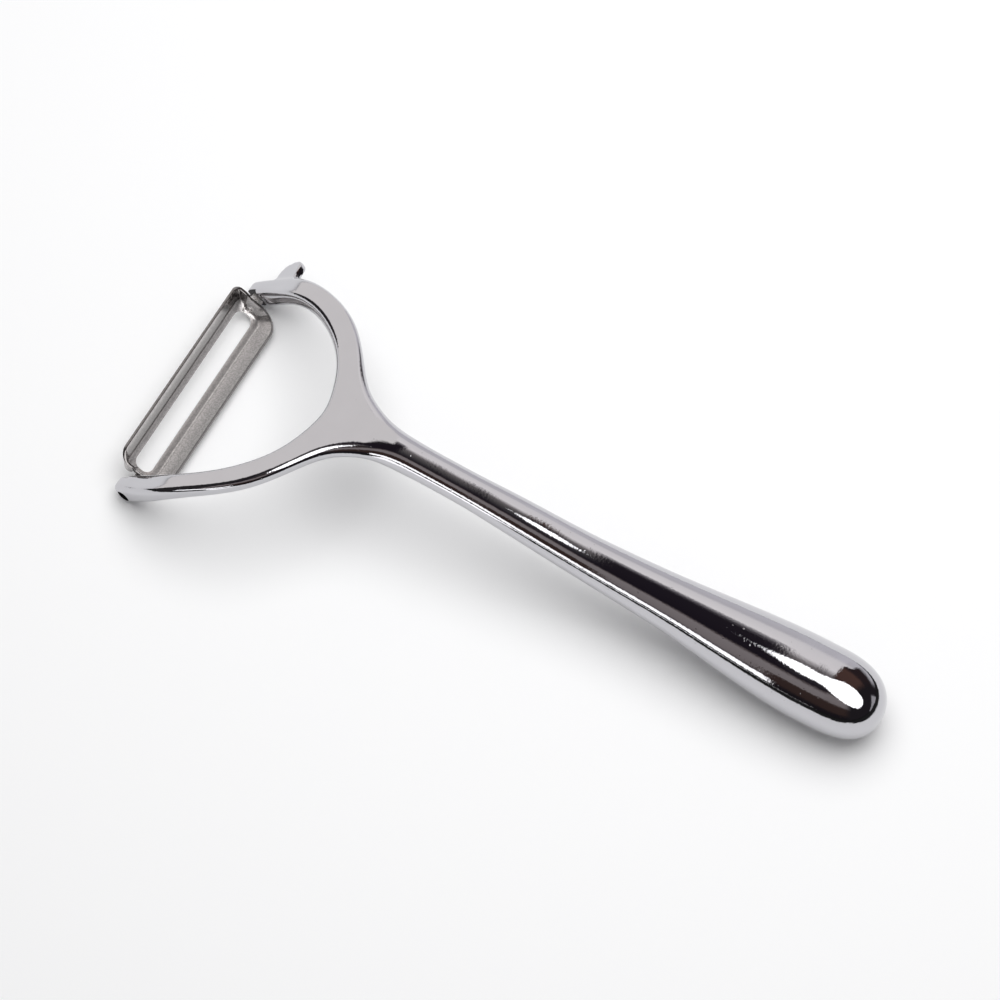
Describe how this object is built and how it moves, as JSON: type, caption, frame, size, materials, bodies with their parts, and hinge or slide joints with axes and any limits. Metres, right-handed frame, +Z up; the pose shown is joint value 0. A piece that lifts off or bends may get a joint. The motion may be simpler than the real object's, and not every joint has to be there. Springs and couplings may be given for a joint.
{
  "type": "vegetable_peeler",
  "caption": "Y-shaped vegetable peeler: chromed cast fork and handle with an eye remover, and a slotted steel blade that swivels between the arms",
  "frame": {"origin": "the middle of the underside of the part's bounding box, as it lies on a table", "axes": "X runs from the blade to the end of the handle, Y along the blade's pivot, Z up"},
  "size_m": [0.1856, 0.072, 0.0272],
  "materials": {
    "polished_chrome": "mirror",
    "blade_steel": "satin",
    "pin_steel": "polished"
  },
  "bodies": {
    "frame": {"fork_and_handle": "polished_chrome", "pivot_pin_left": "pin_steel", "pivot_pin_right": "pin_steel"},
    "blade": {"swivel_blade": "blade_steel"}
  },
  "joints": [
    {"name": "blade_swivel", "type": "hinge", "parent": "frame", "child": "blade", "pos_m": [-0.08847, -0.0026, 0.003], "axis": [0, 1, 0], "range_deg": [-25, 45]}
  ]
}
